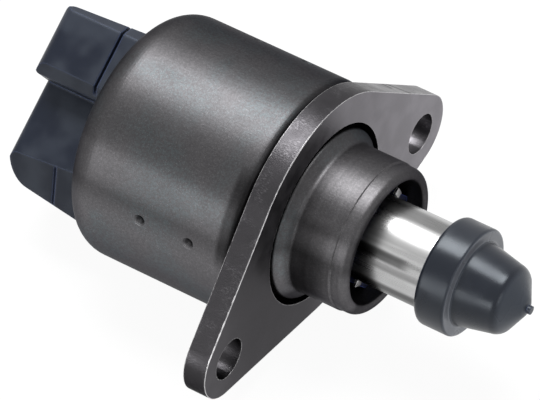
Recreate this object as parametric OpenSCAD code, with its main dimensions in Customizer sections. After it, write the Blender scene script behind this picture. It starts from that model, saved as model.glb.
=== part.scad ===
// Idle air control valve: a can-stack stepper motor that screws a sprung plunger in and out.
// The X axis runs along the valve towards the pintle tip and X = 0 is the mounting face.
// The bolt holes lie level, left and right of the axis, on ears that droop towards -Z.

/* [Motor can] */
// Outside diameter of the can
can_d = 31.7; // [30:0.1:36]
// Length of the can behind the mounting flange
can_len = 24.4; // [20:0.1:34]
// Sheet thickness of the can
can_wall = 1.0; // [0.6:0.1:1.2]
// Radius of the lip that is rolled over the end cap
lip_round = 4.0; // [3.2:0.1:4.4]
// How far round the lip is rolled, in degrees
lip_turn = 62; // [50:1:66]
// Radius of the front corner of the can
shoulder_round = 1.5; // [0.8:0.1:2]
// Radius of each punched dimple
dimple_r = 0.8; // [0.6:0.1:1.4]
// Depth of each punched dimple
dimple_depth = 0.35; // [0.2:0.05:0.6]
// Rows of dimples around the can
dimple_rows = 3; // [1:1:6]
// Turn of the first row of dimples about the axis
dimple_turn = 75; // [0:1:119]
// Distance from the mounting face to the front dimples
dimple_front = 9.2; // [7:0.1:11]
// Distance from the mounting face to the rear dimples
dimple_rear = 16.2; // [13:0.1:18]

/* [Nose collar] */
// Wall of the collar
collar_wall = 1.6; // [1.6:0.05:2]
// Length of the collar in front of the mounting face
collar_len = 9.1; // [9:0.1:14]
// Height of the register that centres the flange, above the collar
register_step = 1.4; // [1.1:0.05:1.6]
// Where the flared root runs into the collar, in front of the mounting face
flare_front = 1.5; // [1:0.1:2.5]
// Slope of the flared root, in degrees off the axis
flare_slope = 50; // [40:1:60]
// Depth of the step turned at the rim
rim_step = 0.15; // [0.1:0.05:0.3]
// Rounding of the rim's outer edge
rim_out = 1.0; // [0.6:0.1:1.1]
// Rounding of the rim's inner edge
rim_in = 0.45; // [0.2:0.05:0.45]
// Length of the step turned at the rim
rim_step_len = 2.1; // [1.5:0.1:3]

/* [Mounting flange] */
// Thickness of the flange plate
flange_t = 3.0; // [2.5:0.1:4]
// Radius of the flange over the top of the can
flange_r = 15.9; // [15.9:0.1:18]
// Radius of the flange below the axis
flange_low_r = 15.0; // [14.6:0.1:16]
// Radius of each ear
ear_r = 5.2; // [4.6:0.1:6]
// Gap on a radius between the register and the flange's bore
flange_gap = 0.8; // [0.7:0.05:1.2]
// Bolt hole diameter
bolt_d = 5.4; // [5:0.1:6.2]
// Distance between the two bolt holes
bolt_spacing = 42.2; // [41:0.1:46]
// How far the bolt holes lie below the axis
bolt_drop = 5.6; // [4:0.1:7]

/* [Connector] */
// Turn of the connector about the axis
plug_turn = 31; // [0:0.5:60]
// Length of the connector behind the end cap
plug_len = 12.7; // [11.6:0.1:16]
// Height of the upper block above the axis, at the end cap
upper_top = 10.2; // [9.8:0.1:10.4]
// How much lower the top of the upper block is at its rear end
upper_draft = 0.7; // [0:0.1:1.2]
// Lowest edge of the upper block above the axis
upper_foot = 0.2; // [0:0.1:0.6]
// Near side of the upper block, from the axis
upper_near = 8.2; // [7.5:0.1:8.2]
// Far side of both blocks, from the axis
plug_far = 8.3; // [7.8:0.1:8.4]
// Bevel along the upper block's near edges
upper_bevel = 1.4; // [0.5:0.1:1.8]
// Bevel along the upper block's far top edge
far_bevel = 0.9; // [0.3:0.1:1.2]
// Near side of the lower block, from the axis
lower_near = 3.3; // [3:0.1:4]
// Where the lower block's sides start to slope, at its rear end
slope_rear = 9.4; // [9:0.1:9.8]
// Where the lower block's sides start to slope, at the end cap
slope_root = 8.4; // [8:0.1:8.8]
// Angle of the sloping sides
slope_angle = 45; // [42:1:47]
// Depth of the lower block at its rear end
lower_rear = 12.6; // [12:0.1:12.9]
// Depth of the lower block at the end cap
lower_root = 13.8; // [13.2:0.1:13.9]
// Rounding of the connector's rear edges
plug_round = 1.6; // [0.8:0.1:1.8]
// Rounding of the lower block's rear edges
lower_round = 1.0; // [0.8:0.1:3]
// Rounding of the lower block's rear foot
foot_round = 3.0; // [1:0.1:3.2]
// Wall of the plug socket
plug_wall = 1.5; // [1.3:0.1:1.8]
// Depth of the plug socket
socket_depth = 10.2; // [9:0.1:10.8]
// Width of the slit round the upper block
slit_w = 0.4; // [0.3:0.05:0.8]
// Depth of the slit round the upper block
slit_depth = 1.0; // [0.6:0.1:1.2]
// Distance from the rear end to the slit
slit_from_rear = 8.6; // [7.4:0.1:9.2]
// Width of the fine groove in the near slope
groove_w = 0.3; // [0.2:0.05:0.5]
// Depth of the fine groove
groove_depth = 0.7; // [0.3:0.1:1]
// Distance from the rear end to the fine groove
groove_from_rear = 6.4; // [5:0.1:7]
// Number of terminal pins
pins = 4; // [4:1:4]
// Distance between neighbouring pins
pin_pitch = 2.8; // [2.5:0.1:3]
// Side of a square pin
pin_side = 0.8; // [0.6:0.05:1]
// Height of the row of pins above the axis
pin_height = 5.2; // [4.4:0.1:6]
// How far the pins stop short of the rear end
pin_setback = 4.4; // [1:0.1:5]

/* [Stators] */
// Sheet thickness of cups and pole rings
pole_t = 0.8; // [0.6:0.05:0.9]
// Radius inside the claw poles, as a share of the can's inside radius
claw_share = 0.465; // [0.45:0.005:0.48]
// Thickness of a claw pole
claw_t = 0.6; // [0.4:0.05:0.7]
// Width of a claw pole
claw_w = 1.5; // [1:0.1:1.6]
// Number of claw poles on each sheet
claws = 12; // [8:1:12]
// Wall of a coil bobbin
bobbin_wall = 0.6; // [0.4:0.05:0.8]
// Depth of winding left unfilled below the bobbin's rim
winding_gap = 0.7; // [0.4:0.1:1.2]

/* [Rotor] */
// Air gap between the claw poles and the magnet
air_gap = 0.3; // [0.2:0.05:0.4]
// Radius of the magnet's bore, as a share of that inside the claw poles
magnet_share = 0.64; // [0.6:0.01:0.68]
// Radius of the rotor's front journal, as a share of that inside the claw poles
journal_share = 0.52; // [0.48:0.01:0.54]
// Radius of the rotor's rear journal, as a share of that inside the claw poles
tail_share = 0.29; // [0.24:0.01:0.32]
// Length of the rear journal
tail_len = 2.6; // [2:0.1:3]
// Length of the threaded part of the hub
nut_len = 8.8; // [7:0.1:9]
// Wall left behind the pocket for the screw
pocket_wall = 1.5; // [1:0.1:2]
// Play at each end of the rotor
end_play = 0.3; // [0.2:0.05:0.4]
// Running clearance on a radius
running = 0.06; // [0.03:0.01:0.08]

/* [Front bearing] */
// Wall of the guide round the bearing
bearing_wall = 0.6; // [0.5:0.05:0.7]
// Width of the ball bearing
bearing_w = 3.0; // [2.6:0.1:3.2]
// How far the bearing sits behind the inside of the can's front
bearing_sink = 1.0; // [0.8:0.1:1.2]
// Thickness of a bearing race
race_t = 0.7; // [0.6:0.05:0.75]
// Radius of a ball
ball_r = 0.75; // [0.6:0.05:0.8]
// Number of balls
balls = 9; // [6:1:11]
// Thickness of the cage
cage_t = 0.45; // [0.3:0.05:0.5]

/* [Plunger] */
// How far the plunger draws in from where it stands
retract = 6.5; // [5:0.1:6.5]
// Outside radius of the steel sleeve, as a share of that inside the claw poles
sleeve_share = 0.797; // [0.78:0.005:0.81]
// Clearance on a radius between the sleeve and its guide
guide_clearance = 0.09; // [0.05:0.01:0.1]
// Wall of the steel sleeve
sleeve_wall = 0.8; // [0.6:0.05:0.9]
// Length of sleeve that stands out of the collar
sleeve_reach = 8.3; // [7.9:0.1:12]
// Radius of the lead screw, as a share of that inside the claw poles
screw_share = 0.362; // [0.33:0.002:0.37]
// How much smaller the screw's stub in the tip is, on a radius
stub_step = 1.0; // [0.8:0.05:1.2]
// Length of the screw's stub
stub_len = 6.2; // [5:0.1:7]
// Width of the lugs that stop the sleeve turning
lug_w = 3.2; // [2.6:0.1:3.6]
// Length of the lugs
lug_len = 2.0; // [1.5:0.1:2.5]
// Height of the lugs above the sleeve
lug_height = 1.5; // [1.1:0.05:1.6]
// Clearance round the lugs in their slots
lug_play = 0.3; // [0.2:0.05:0.4]
// Turn of the guide's slots and flats about the axis
slot_turn = 126; // [0:1:180]
// Wall of the guide outside its slots
guide_rim = 0.77; // [0.7:0.01:1]
// Wall of the guide under each flat
guide_flat_wall = 0.5; // [0.4:0.1:1]
// Length of the flats
guide_flat_len = 7.5; // [4:0.1:9]
// Distance from the rim of the collar to the guide's front face
guide_recess = 2.5; // [1.5:0.1:4]
// Wire diameter of the spring
spring_wire = 0.8; // [0.5:0.05:0.9]
// Turns of the spring
spring_turns = 7; // [5:0.5:9]

/* [Pintle tip] */
// Wall of the tip's collar round the sleeve
tip_wall = 1.45; // [1.2:0.05:1.7]
// Length of the tip's collar
tip_collar_len = 4.3; // [4:0.1:5.5]
// How deep the sleeve is seated in the tip
tip_seat = 0.55; // [0.3:0.05:1]
// Width of the shoulder between the tip's collar and its valve face
tip_shoulder = 1.6; // [1.4:0.05:1.9]
// How far the valve face tapers, on a radius
tip_taper = 0.85; // [0.6:0.05:1.1]
// Length of the tapered valve face, with its rounded end
tip_taper_len = 6.1; // [5:0.1:7]
// Radius of the rounding at the front of the valve face
tip_round = 1.75; // [1:0.05:2.2]
// Length of the blunt cone
tip_cone_len = 1.45; // [1.2:0.05:2.5]
// Radius of the moulding nub
nub_r = 0.55; // [0.4:0.05:0.8]
// Length of the moulding nub
nub_len = 0.5; // [0.4:0.1:1]

/* [Hidden] */

$fn = 96;
eps = 0.01;

// Places along the axis, from the back of the valve to its front
can_r = can_d / 2;
can_in_r = can_r - can_wall;
can_rear = -flange_t - can_len;
lip_x = can_rear + lip_round * sin(lip_turn);
can_floor = -flange_t - can_wall;
loose = 0.1;

// The end cap and its connector
cap_r = can_in_r - loose;
cap_sink = 0.4;
cap_rear = can_rear + cap_sink;
cap_round = lip_round - can_wall - loose;
neck_r = can_r - lip_round + cap_round * cos(lip_turn);
block_front = cap_rear + 1;
seal_r = 0.6;
seal_squeeze = 0.05;
seal_seat_r = cap_r - 2 * seal_r + seal_squeeze;
cap_band = 0.35;
plug_rear = cap_rear - plug_len;

// The two stators share the room between the can's front and the end cap
stator_rear = lip_x + cap_band + 2 * seal_r;
stator_mid = (can_floor + stator_rear) / 2;
claw_r = claw_share * can_in_r;
claw_gap = 0.5;
sheet_out_r = can_in_r - loose;
spool_r = claw_r + claw_t + loose;
brim_r = sheet_out_r - pole_t - loose;

// The rotor turns between the rear bush and the front bearing
bearing_r = claw_r - loose - bearing_wall;
journal_r = journal_share * claw_r;
tail_r = tail_share * claw_r;
magnet_r = claw_r - air_gap;
magnet_bore_r = magnet_share * claw_r;
bearing_front = can_floor - bearing_sink;
bearing_rear = bearing_front - bearing_w;
bearing_mid = bearing_front - bearing_w / 2;
magnet_front = bearing_rear - 0.5;
washer_t = 0.3;
hub_rear = stator_rear + washer_t + end_play;
hub_flange_t = 0.3;
magnet_rear = hub_rear + hub_flange_t;
race_relief = 0.2;
hub_front = bearing_front - race_relief;
bush_len = 2.2;
bush_wall = 1.3;
washer_r = tail_r + 1.6;
pitch_r = (journal_r + bearing_r) / 2;
groove_play = 0.05;
cage_play = 0.1;
cage_rim = 0.35;

// The plunger and its guide
sleeve_r = sleeve_share * claw_r;
sleeve_in_r = sleeve_r - sleeve_wall;
sleeve_rear = can_floor + loose + retract;
sleeve_front = collar_len + sleeve_reach;
guide_front = collar_len - guide_recess;
guide_fit = 0.03;
guide_skirt_r = claw_r - loose;
guide_bore_r = sleeve_r + guide_clearance;
guide_flat = guide_bore_r + guide_flat_wall;
lug_r = sleeve_r + lug_height;
lug_root_r = sleeve_r - sleeve_wall / 2;
guide_r = lug_r + lug_play + guide_rim;
seat_t = 0.5;
seat_front = bearing_front + seat_t;
screw_r = screw_share * claw_r;
screw_room = 0.4;
stub_r = screw_r - stub_step;
pocket_floor = hub_rear + pocket_wall;
screw_rear = pocket_floor + retract + 0.7;
screw_front = sleeve_front - sleeve_wall;
spring_r = (screw_r + sleeve_in_r) / 2;
spring_len = screw_front - seat_front;
tip_rear = sleeve_front - tip_seat;
tip_step = tip_rear + tip_collar_len;
tip_collar_r = sleeve_r + tip_wall;
tip_root_r = tip_collar_r - tip_shoulder;
tip_front_r = tip_root_r - tip_taper;

// The nose collar fits the guide, and the flange fits the collar's register
collar_bore_r = guide_r + guide_fit;
collar_r = collar_bore_r + collar_wall;
register_r = collar_r + register_step;
flange_bore_r = register_r + flange_gap;

// Points of an arc about [x, y], from angle a to angle b
function arc(x, y, r, a, b, steps = 8) =
    [for (i = [0 : steps]) [x + r * cos(a + (b - a) * i / steps), y + r * sin(a + (b - a) * i / steps)]];

// Turns a [radius, place along the axis] outline about the valve's axis
module turned(points) {
    rotate([0, 90, 0]) rotate_extrude() polygon(points);
}

// A ring about the axis, from the rear face to the front face
module ring(outer, inner, rear, front) {
    turned([[inner, rear], [outer, rear], [outer, front], [inner, front]]);
}

// A rod along the axis
module rod(r, rear, front) {
    translate([rear, 0, 0]) rotate([0, 90, 0]) cylinder(r = r, h = front - rear);
}

// Copies children evenly around the axis
module around(count, first = 0) {
    for (i = [0 : count - 1]) rotate([first + i * 360 / count, 0, 0]) children();
}

// Drawn steel can: a rolled lip at the back, a shoulder and the nose collar at the front
module motor_can() {
    lip_mid_r = can_r - lip_round;
    wall_in = lip_round - can_wall;
    rim_r = collar_r - rim_step;
    register_soft = 0.6;
    flare_soft = 0.8;
    flare_drop = register_r - register_soft * (1 - sin(flare_slope))
        - collar_r - flare_soft * (1 - sin(flare_slope));
    flare_rear = flare_front - (flare_soft + register_soft) * cos(flare_slope) - flare_drop * tan(90 - flare_slope);
    outside = concat(
        arc(lip_mid_r, lip_x, lip_round, -lip_turn, 0, 10),
        arc(can_r - shoulder_round, -flange_t - shoulder_round, shoulder_round, 0, 90),
        [[register_r, -flange_t]],
        arc(register_r - register_soft, flare_rear, register_soft, 0, 90 - flare_slope, 4),
        arc(collar_r + flare_soft, flare_front, flare_soft, -90 - flare_slope, -180, 4),
        [[collar_r, collar_len - rim_step_len - rim_step], [rim_r, collar_len - rim_step_len]],
        arc(rim_r - rim_out, collar_len - rim_out, rim_out, 0, 90),
        arc(collar_bore_r + rim_in, collar_len - rim_in, rim_in, 90, 180));
    inside = concat(
        [[collar_bore_r, can_floor], [can_in_r, can_floor]],
        arc(lip_mid_r, lip_x, wall_in, 0, -lip_turn, 10));
    color("#4a4441") difference() {
        turned(concat(outside, inside));
        around(dimple_rows, dimple_turn) dimple_pair();
    }
}

// Tool that punches the two dimples of one row
module dimple_pair() {
    ball = (dimple_r * dimple_r + dimple_depth * dimple_depth) / (2 * dimple_depth);
    for (x = [dimple_front, dimple_rear])
        translate([-x, 0, can_r + ball - dimple_depth]) sphere(r = ball, $fn = 48);
}

// Flange plate with two drooping ears
module mounting_flange() {
    color("#55504d") difference() {
        translate([-flange_t, 0, 0]) rotate([90, 0, 90]) linear_extrude(flange_t) flange_outline();
        rod(flange_bore_r, -flange_t - 1, 1);
        for (side = [-1, 1])
            translate([0, side * bolt_spacing / 2, -bolt_drop]) rod(bolt_d / 2, -flange_t - 1, 1);
    }
}

// Outline of the flange: a body round the axis, and an ear each side joined to it by tangent lines
module flange_outline() {
    ear = [bolt_spacing / 2, -bolt_drop];
    reach = norm(ear);
    lean = atan2(ear[1], ear[0]);
    above = lean + acos((flange_r - ear_r) / reach);
    below = lean - acos((flange_low_r - ear_r) / reach);
    circle(r = flange_low_r);
    intersection() {
        circle(r = flange_r);
        translate([-flange_r, -bolt_drop]) square(2 * flange_r);
    }
    for (side = [0, 1]) mirror([side, 0]) {
        translate(ear) circle(r = ear_r);
        polygon([[0, 0], flange_low_r * [cos(below), sin(below)], ear + ear_r * [cos(below), sin(below)],
            ear + ear_r * [cos(above), sin(above)], flange_r * [cos(above), sin(above)]]);
    }
}

// Places children in the connector's own frame: its face up, its row of pins across
module at_plug() {
    rotate([plug_turn, 0, 0]) children();
}

// Rectangle with round corners, from corner low to corner high
module soft_rect(low, high, r) {
    translate(low + [r, 0]) square([high[0] - low[0] - 2 * r, high[1] - low[1]]);
    translate(low + [0, r]) square([high[0] - low[0], high[1] - low[1] - 2 * r]);
    for (x = [low[0] + r, high[0] - r], y = [low[1] + r, high[1] - r]) translate([x, y]) circle(r = r);
}

// Extrudes a [height, width] outline along the axis, from rear to front
module along(rear, front) {
    translate([rear, 0, 0]) rotate([90, 0, 90]) linear_extrude(front - rear) children();
}

// The upper block, with bevelled near edges and rounded rear edges
module upper_block() {
    rear_top = upper_top - upper_draft;
    foot_soft = 0.5;
    intersection() {
        along(plug_rear, block_front) polygon([[upper_foot, -plug_far], [upper_top - far_bevel, -plug_far],
            [upper_top, far_bevel - plug_far], [upper_top, upper_near - upper_bevel], [upper_top - upper_bevel, upper_near],
            [upper_foot + upper_bevel, upper_near], [upper_foot, upper_near - upper_bevel]]);
        linear_extrude(30, center = true) polygon(concat(
            arc(plug_rear + plug_round, rear_top - plug_round, plug_round, 180, 90, 8),
            [[cap_rear, upper_top], [block_front, upper_top], [block_front, upper_foot - 1]],
            arc(plug_rear + foot_soft, upper_foot + foot_soft, foot_soft, 270, 180, 4)));
        side_rounding(plug_far, upper_near, plug_round);
    }
}

// Rounds the rear edges of a block that reaches from the far side to the near side
module side_rounding(far, near, soft) {
    rotate([90, 0, 0]) linear_extrude(60, center = true)
        soft_rect([plug_rear, -far], [block_front + 5, near], soft);
}

// The lower block, with sloping sides that widen towards the end cap
module lower_block() {
    intersection() {
        loft(lower_section(slope_rear), lower_section(slope_root), plug_rear, cap_rear, block_front);
        linear_extrude(30, center = true) polygon(concat(
            arc(plug_rear + foot_round, foot_round - lower_rear, foot_round, 180, 266, 10),
            [[cap_rear, -lower_root], [block_front, -lower_root], [block_front, upper_foot + 1],
                [plug_rear, upper_foot + 1]]));
        side_rounding(plug_far, lower_near, lower_round);
    }
}

// Section of the lower block whose sides start to slope at the given depth
function lower_section(start) = let (
        half = (plug_far + lower_near) / 2,
        mid = (lower_near - plug_far) / 2,
        flat = 0.3,
        reach = (half - flat) / tan(slope_angle))
    [[upper_foot + 1, -plug_far], [upper_foot + 1, lower_near], [-start, lower_near],
        [-start - reach, mid + flat], [-start - reach, mid - flat], [-start, -plug_far]];

// Solid between section a at x0 and section b at x1, then straight on along the same edges to x2
module loft(a, b, x0, x1, x2) {
    count = len(a);
    corners = [0 : count - 1];
    stretch = (x2 - x0) / (x1 - x0);
    far_end = [for (i = corners) a[i] + (b[i] - a[i]) * stretch];
    points = concat([for (p = a) [x0, p[0], p[1]]], [for (p = far_end) [x2, p[0], p[1]]]);
    sides = [for (i = corners) [i, count + i, count + (i + 1) % count, (i + 1) % count]];
    ends = [[for (i = corners) i], [for (i = [count - 1 : -1 : 0]) count + i]];
    polyhedron(points, concat(sides, ends));
}

// The plug socket, open to the rear
module socket() {
    low = plug_wall - slope_rear;
    translate([plug_rear - 1, upper_foot + plug_wall, plug_wall - plug_far])
        cube([socket_depth + 1, upper_top - upper_draft - upper_foot - 2 * plug_wall,
            upper_near + plug_far - 2 * plug_wall]);
    translate([plug_rear - 1, low, plug_wall - plug_far])
        cube([socket_depth + 1, upper_foot + plug_wall - low + eps, lower_near + plug_far - 2 * plug_wall]);
}

// The slit round the upper block and the fine groove in the near slope
module block_cuts() {
    slit_rear = plug_rear + slit_from_rear;
    slit_foot = upper_foot + 0.3;
    translate([slit_rear, slit_foot, upper_near - slit_depth]) cube([slit_w, upper_top, slit_depth + 1]);
    translate([slit_rear, upper_top - slit_depth, -plug_far - 1]) cube([slit_w, slit_depth + 1, 2 * plug_far]);
    translate([plug_rear + groove_from_rear, -slope_rear, lower_near])
        rotate([slope_angle, 0, 0]) translate([0, -6, -groove_depth]) cube([groove_w, 6.2, 2]);
}

// Moulded end cap with the plug connector on its back
module end_cap() {
    rim = concat(
        [[0, stator_rear], [seal_seat_r, stator_rear], [seal_seat_r, stator_rear - 2 * seal_r],
            [cap_r, stator_rear - 2 * seal_r]],
        arc(can_r - lip_round, lip_x, cap_round, 0, -lip_turn, 6),
        [[neck_r, cap_rear], [0, cap_rear]]);
    tail_room = 0.4;
    color("#20242c") difference() {
        union() {
            turned(rim);
            difference() {
                at_plug() {
                    upper_block();
                    lower_block();
                }
                ring(can_r, neck_r, can_rear - loose, block_front + 1);
            }
        }
        at_plug() {
            socket();
            block_cuts();
            for (i = [1 : pins]) pin_shape(i);
        }
        rod(tail_r + bush_wall + running, stator_rear - bush_len, stator_rear + 1);
        rod(tail_r + tail_room, hub_rear - tail_len - tail_room, stator_rear);
    }
}

// Height, place and length of one terminal pin
module pin_shape(i) {
    across = (i - (pins + 1) / 2) * pin_pitch + (upper_near - plug_far) / 2;
    rear = plug_rear + pin_setback;
    root = stator_rear - 1;
    translate([rear, pin_height - pin_side / 2, across - pin_side / 2])
        cube([root - rear, pin_side, pin_side]);
}

module terminal_pin(i) {
    color("#b9a36a") at_plug() pin_shape(i);
}

// Ring seal squeezed between the end cap and the can
module end_cap_seal() {
    color("#171717") turned([for (p = arc(seal_seat_r + seal_r, stator_rear - seal_r, seal_r, 0, 345, 23)) p]);
}

// Plain bush that carries the rotor's tail
module rear_bush() {
    color("#a98a4e") ring(tail_r + bush_wall, tail_r + running, stator_rear - bush_len, stator_rear);
}

// Thin washer behind the rotor
module wave_washer() {
    color("#9a9ea3") ring(washer_r, tail_r + 0.2, stator_rear, stator_rear + washer_t);
}

// One ring of claw poles standing on a sheet; the sheet lies from rear to front
module claw_poles(rear, front, offset) {
    around(claws, offset)
        translate([rear, -claw_w / 2, claw_r]) cube([front - rear, claw_w, claw_t]);
}

// Stator cup: shell, end sheet and its claws. It opens towards the middle of the motor.
module stator_cup(sheet_rear, sheet_front, shell_rear, shell_front, claw_rear, claw_front) {
    color("#8c8f93") {
        ring(sheet_out_r, sheet_out_r - pole_t, shell_rear, shell_front);
        ring(sheet_out_r - pole_t / 2, claw_r, sheet_rear, sheet_front);
        claw_poles(claw_rear, claw_front, 0);
    }
}

module stator_cup_rear() {
    stator_cup(stator_rear, stator_rear + pole_t, stator_rear, stator_mid - pole_t,
        stator_rear, stator_mid - pole_t - claw_gap);
}

module stator_cup_front() {
    stator_cup(can_floor - pole_t, can_floor, stator_mid + pole_t, can_floor,
        stator_mid + pole_t + claw_gap, can_floor);
}

// Flat pole ring at the middle of the motor, with claws between those of its cup
module pole_ring(rear, front, claw_rear, claw_front) {
    color("#7c8085") {
        ring(sheet_out_r, claw_r, rear, front);
        claw_poles(claw_rear, claw_front, 180 / claws);
    }
}

module pole_ring_rear() {
    pole_ring(stator_mid - pole_t, stator_mid, stator_rear + pole_t + claw_gap, stator_mid);
}

module pole_ring_front() {
    pole_ring(stator_mid, stator_mid + pole_t, stator_mid, can_floor - pole_t - claw_gap);
}

// Spool for one coil
module coil_bobbin(rear, front) {
    color("#e6e0cf") {
        ring(spool_r + bobbin_wall, spool_r, rear, front);
        ring(brim_r, spool_r + bobbin_wall / 2, rear, rear + bobbin_wall);
        ring(brim_r, spool_r + bobbin_wall / 2, front - bobbin_wall, front);
    }
}

module coil_bobbin_rear() {
    coil_bobbin(stator_rear + pole_t, stator_mid - pole_t);
}

module coil_bobbin_front() {
    coil_bobbin(stator_mid + pole_t, can_floor - pole_t);
}

// Copper winding on one spool
module coil_winding(rear, front) {
    color("#a8562c")
        ring(brim_r - winding_gap, spool_r + bobbin_wall, rear + bobbin_wall, front - bobbin_wall);
}

module coil_winding_rear() {
    coil_winding(stator_rear + pole_t, stator_mid - pole_t);
}

module coil_winding_front() {
    coil_winding(stator_mid + pole_t, can_floor - pole_t);
}

// Ring magnet of the rotor
module rotor_magnet() {
    color("#3a3b3f") ring(magnet_r, magnet_bore_r, magnet_rear, magnet_front);
}

// Rotor hub: nut for the lead screw, front journal and tail
module rotor_hub() {
    nut_rear = hub_front - nut_len;
    color("#d8d2bd") difference() {
        union() {
            rod(magnet_bore_r, hub_rear, magnet_front);
            rod((magnet_bore_r + magnet_r) / 2, hub_rear, magnet_rear);
            rod(journal_r, magnet_front - eps, hub_front);
            rod(tail_r, hub_rear - tail_len, hub_rear + eps);
        }
        rod(screw_r + running, nut_rear - eps, hub_front + 1);
        rod(screw_r + screw_room, pocket_floor, nut_rear);
    }
}

// Groove in which the balls of the bearing run
module ball_groove() {
    rotate([0, 90, 0]) rotate_extrude() translate([pitch_r, bearing_mid])
        circle(r = ball_r + groove_play, $fn = 48);
}

module bearing_inner_race() {
    color("#b8bcc2") difference() {
        ring(journal_r + race_t, journal_r, bearing_rear, bearing_front - race_relief);
        ball_groove();
    }
}

module bearing_outer_race() {
    color("#b8bcc2") difference() {
        ring(bearing_r, bearing_r - race_t, bearing_rear, bearing_front);
        ball_groove();
    }
}

module bearing_balls() {
    color("#dfe3e8") around(balls)
        translate([bearing_mid, 0, pitch_r]) sphere(r = ball_r, $fn = 32);
}

module ball_cage() {
    half = ball_r + cage_rim;
    color("#8d6f3c") difference() {
        ring(pitch_r + cage_t / 2, pitch_r - cage_t / 2, bearing_mid - half, bearing_mid + half);
        around(balls) translate([bearing_mid, 0, pitch_r]) sphere(r = ball_r + cage_play, $fn = 32);
    }
}

// Washer between the bearing and the spring
module spring_seat() {
    color("#a5a9ae") ring(bearing_r - guide_fit, screw_r + screw_room, bearing_front, seat_front);
}

// Moulded guide in the nose: it holds the bearing and stops the sleeve turning
module guide_bush() {
    slot_w = lug_w + 2 * lug_play;
    color("#b9b6ad") difference() {
        union() {
            rod(guide_r, can_floor, guide_front);
            rod(guide_skirt_r, bearing_rear, can_floor + eps);
        }
        rod(guide_bore_r, seat_front - eps, guide_front + 1);
        rod(bearing_r, bearing_rear - 1, seat_front);
        around(2, slot_turn)
            translate([can_floor, -slot_w / 2, 0])
                cube([guide_front + 1 - can_floor, slot_w, lug_r + lug_play]);
        around(2, slot_turn)
            translate([guide_front - guide_flat_len, -guide_r, guide_flat])
                cube([guide_flat_len + 1, 2 * guide_r, guide_r]);
    }
}

// Lead screw, fixed to the plunger
module lead_screw() {
    color("#c4c7cb") {
        rod(screw_r, screw_rear, screw_front);
        rod(stub_r, screw_front - eps, screw_front + stub_len);
    }
}

// Steel sleeve, closed at the front, with two lugs at the back
module plunger_sleeve() {
    color("#d9dcdf") difference() {
        union() {
            rod(sleeve_r, sleeve_rear, sleeve_front);
            around(2, slot_turn)
                translate([sleeve_rear, -lug_w / 2, lug_root_r]) cube([lug_len, lug_w, lug_r - lug_root_r]);
        }
        rod(sleeve_in_r, sleeve_rear - 1, screw_front);
        rod(stub_r, screw_front - 1, sleeve_front + 1);
    }
}

// Point on the wire of the spring: t runs from 0 to 1 along it, a around the wire
function wire_point(t, a) = let (
        turn = 360 * spring_turns * t,
        wire = spring_wire / 2,
        out = spring_r + wire * cos(a))
    [seat_front + wire + (spring_len - spring_wire) * t + wire * sin(a), out * cos(turn), out * sin(turn)];

// Compression spring inside the sleeve
module plunger_spring() {
    sides = 8;
    steps = spring_turns * 28;
    points = [for (i = [0 : steps], j = [0 : sides - 1]) wire_point(i / steps, 360 * j / sides)];
    walls = [for (i = [0 : steps - 1], j = [0 : sides - 1])
        [i * sides + j, i * sides + (j + 1) % sides, (i + 1) * sides + (j + 1) % sides, (i + 1) * sides + j]];
    ends = [[for (j = [sides - 1 : -1 : 0]) j], [for (j = [0 : sides - 1]) steps * sides + j]];
    color("#a2a6ab") polyhedron(points, concat(walls, ends));
}

// Moulded pintle tip: collar, tapered valve face, blunt cone and nub
module pintle_tip() {
    soft = 0.35;
    rear_soft = 0.7;
    root_soft = 0.4;
    nub_flare = 0.6;
    nub_root = 0.2;
    taper_end = tip_step + tip_taper_len;
    cone_end = taper_end + tip_cone_len;
    outline = concat(
        [[sleeve_r, tip_rear]],
        arc(tip_collar_r - rear_soft, tip_rear + rear_soft, rear_soft, -90, 0, 5),
        arc(tip_collar_r - soft, tip_step - soft, soft, 0, 90, 4),
        arc(tip_root_r + root_soft, tip_step + root_soft, root_soft, -90, -180, 3),
        arc(tip_front_r - tip_round, taper_end - tip_round, tip_round, 5, 50, 8),
        [[nub_r + nub_flare, cone_end - nub_root], [nub_r, cone_end], [nub_r, cone_end + nub_len], [0, cone_end + nub_len],
            [0, screw_front + stub_len], [stub_r, screw_front + stub_len], [stub_r, sleeve_front],
            [sleeve_r, sleeve_front]]);
    color("#23262c") turned(outline);
}

motor_can();
mounting_flange();
end_cap();
terminal_pin(1);  // terminal_pin_1
terminal_pin(2);  // terminal_pin_2
terminal_pin(3);  // terminal_pin_3
terminal_pin(4);  // terminal_pin_4
end_cap_seal();
rear_bush();
wave_washer();
stator_cup_rear();
pole_ring_rear();
coil_bobbin_rear();
coil_winding_rear();
stator_cup_front();
pole_ring_front();
coil_bobbin_front();
coil_winding_front();
rotor_magnet();
rotor_hub();
bearing_inner_race();
bearing_outer_race();
bearing_balls();
ball_cage();
spring_seat();
guide_bush();
lead_screw();
plunger_sleeve();
plunger_spring();
pintle_tip();
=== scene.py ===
import math
import random

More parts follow.
